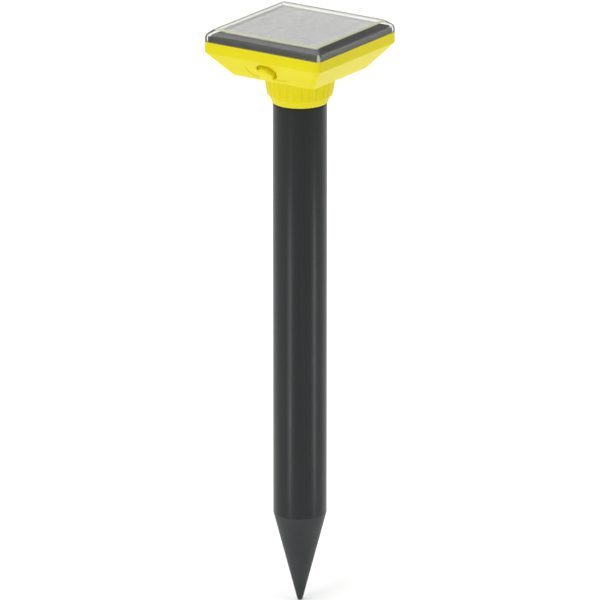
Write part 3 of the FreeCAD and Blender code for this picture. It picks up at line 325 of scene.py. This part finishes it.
def plated(name, colour, roughness, grain=0.004):
    made = Shader(name, Metallic=1.0)
    low, high = roughness
    made.colour(made.blend(made.noise(300.0), colour, tuple(part * 0.85 for part in colour)))
    made.gloss(made.between(made.noise(900.0, 4.0), low, high))
    made.relief(made.noise(1800.0), grain * MM)
    return made


def solar_silicon():
    """Blue-black cells with a comb of fine printed fingers."""
    made = Shader("solar_silicon", Specular_IOR_Level=0.5)
    place = made.axis("Y")
    share = made.maths("FRACT", made.maths("DIVIDE", place, FINGER_PITCH))
    from_middle = made.maths("ABSOLUTE", made.maths("SUBTRACT", share, 0.5))
    finger = made.maths("LESS_THAN", from_middle, FINGER_SHARE)
    body = made.blend(made.ramp(made.noise(70.0), 0.35, 0.65), (0.010, 0.014, 0.040), (0.016, 0.022, 0.055))
    made.colour(made.blend(finger, body, (0.30, 0.31, 0.33)))
    made.gloss(made.between(made.noise(200.0), 0.22, 0.34))
    return made.material


def clear_resin():
    made = Shader("clear_resin", Transmission_Weight=1.0, IOR=1.50, Base_Color=(0.96, 0.97, 0.98))
    made.gloss(made.between(made.ramp(made.noise(45.0, 3.0), 0.35, 0.7), 0.05, 0.12))
    made.relief(made.noise(24.0, 2.0), 0.05 * MM)
    return made.material


def circuit_board():
    """Green solder mask over a pattern of square-turning tracks."""
    made = Shader("circuit_board", Specular_IOR_Level=0.5)
    tracks = made.node("ShaderNodeTexBrick")
    tracks.inputs["Scale"].default_value = 260.0
    tracks.inputs["Mortar Size"].default_value = 0.06
    tracks.inputs["Color1"].default_value = (0.020, 0.13, 0.055, 1.0)
    tracks.inputs["Color2"].default_value = (0.018, 0.11, 0.048, 1.0)
    tracks.inputs["Mortar"].default_value = (0.045, 0.22, 0.09, 1.0)
    made.link(made.place, tracks.inputs["Vector"])
    made.colour(tracks.outputs["Color"])
    made.gloss(made.between(made.noise(400.0), 0.28, 0.4))
    made.relief(tracks.outputs["Fac"], 0.03 * MM)
    return made.material


def cell_sleeve():
    """Green shrink sleeve on the round cells, bare steel at each positive end."""
    low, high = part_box("battery_cells")
    pitch = (high.z - low.z) / CELL_COUNT
    made = Shader("cell_sleeve", Specular_IOR_Level=0.5)
    share = made.maths("FRACT", made.maths("DIVIDE", made.maths("SUBTRACT", made.axis("Z"), low.z), pitch))
    cap = made.maths("GREATER_THAN", share, SLEEVE_SHARE)
    made.colour(made.blend(cap, (0.05, 0.26, 0.10), (0.66, 0.66, 0.64)))
    made.link(cap, made.surface.inputs["Metallic"])
    made.gloss(made.between(made.noise(300.0), 0.2, 0.32))
    return made.material


def paper_cone():
    made = Shader("paper_cone", Roughness=0.85)
    fibres = made.noise(1.0, 4.0, 0.7, made.stretched((500.0, 1500.0, 500.0)))
    made.colour(made.blend(fibres, (0.05, 0.05, 0.05), (0.11, 0.105, 0.10)))
    made.relief(fibres, 0.03 * MM)
    return made.material


def copper_wire():
    """Enamelled winding: fine rounds stacked along the axis, coloured darker in the grooves between turns and
    lighter on their crests, as painted shade and painted highlight.
    """
    made = Shader("copper_wire", Metallic=1.0, Roughness=0.3)
    turn = made.maths("FRACT", made.maths("DIVIDE", made.axis("Z"), WINDING_PITCH))
    dome = made.maths("SINE", made.maths("MULTIPLY", turn, math.pi))
    # the dome profile also sets the colour: painted shade in the grooves between turns, painted highlight on
    # each crest
    made.colour(made.blend(dome, (0.30, 0.10, 0.03), (0.72, 0.34, 0.14)))
    made.relief(dome, 0.06 * MM)
    return made.material


def all_materials():
    steel = plated("screw_steel", (0.64, 0.64, 0.62), (0.25, 0.38)).material
    bright = plated("bright_contact", (0.78, 0.77, 0.72), (0.14, 0.24), 0.002).material
    dull = plated("magnet_plating", (0.36, 0.36, 0.38), (0.3, 0.45)).material
    yellow, black, rubber, green = yellow_plastic(), black_plastic(), black_rubber(), circuit_board()
    red = moulded("red_insulation", (0.50, 0.02, 0.02), (0.42, 0.015, 0.015), (0.3, 0.4)).material
    grey = moulded("grey_insulation", (0.12, 0.12, 0.13), (0.09, 0.09, 0.10), (0.3, 0.4)).material
    can = plated("capacitor_can", (0.60, 0.61, 0.64), (0.3, 0.42)).material
    nylon = moulded("socket_nylon", (0.78, 0.76, 0.68), (0.72, 0.70, 0.61), (0.35, 0.45)).material
    groups = (
        (yellow, "head_housing union_nut neck_ring power_button"),
        (tube_plastic(), "stake_tube threaded_insert"),
        (spike_plastic(), "spike_point"),
        (clear_plastic(), "clear_cover"),
        (tray_plastic(), "panel_tray"),
        (black, "battery_carrier speaker_basket speaker_grille board_chips tact_switch panel_dot"),
        (rubber, "neck_seal button_boot rim_gasket speaker_surround"),
        (foam_tape(), "panel_foam"),
        (steel, "clamp_screws switch_screws tray_screws board_screws speaker_screws button_spring"),
        (bright, "battery_contact battery_spring cell_ribbons"),
        (dull, "speaker_yoke speaker_magnet speaker_gap_plate"),
        (solar_silicon(), "solar_cells"),
        (clear_resin(), "panel_resin"),
        (green, "solar_board control_board switch_board"),
        (can, "board_capacitors"),
        (copper_wire(), "board_inductor speaker_coil"),
        (nylon, "board_sockets"),
        (cell_sleeve(), "battery_cells"),
        (paper_cone(), "speaker_diaphragm"),
        (red, "panel_wires battery_wires"),
        (grey, "switch_wires speaker_wires"),
    )
    return {node: material for material, names in groups for node in names.split()}


def dress_nodes():
    materials = all_materials()
    for name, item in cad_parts.items():
        item.data.materials.clear()
        item.data.materials.append(materials[name])


dress_nodes()
add_world()
add_floor()
add_lights()
add_camera()
scene.view_settings.view_transform = "Standard"
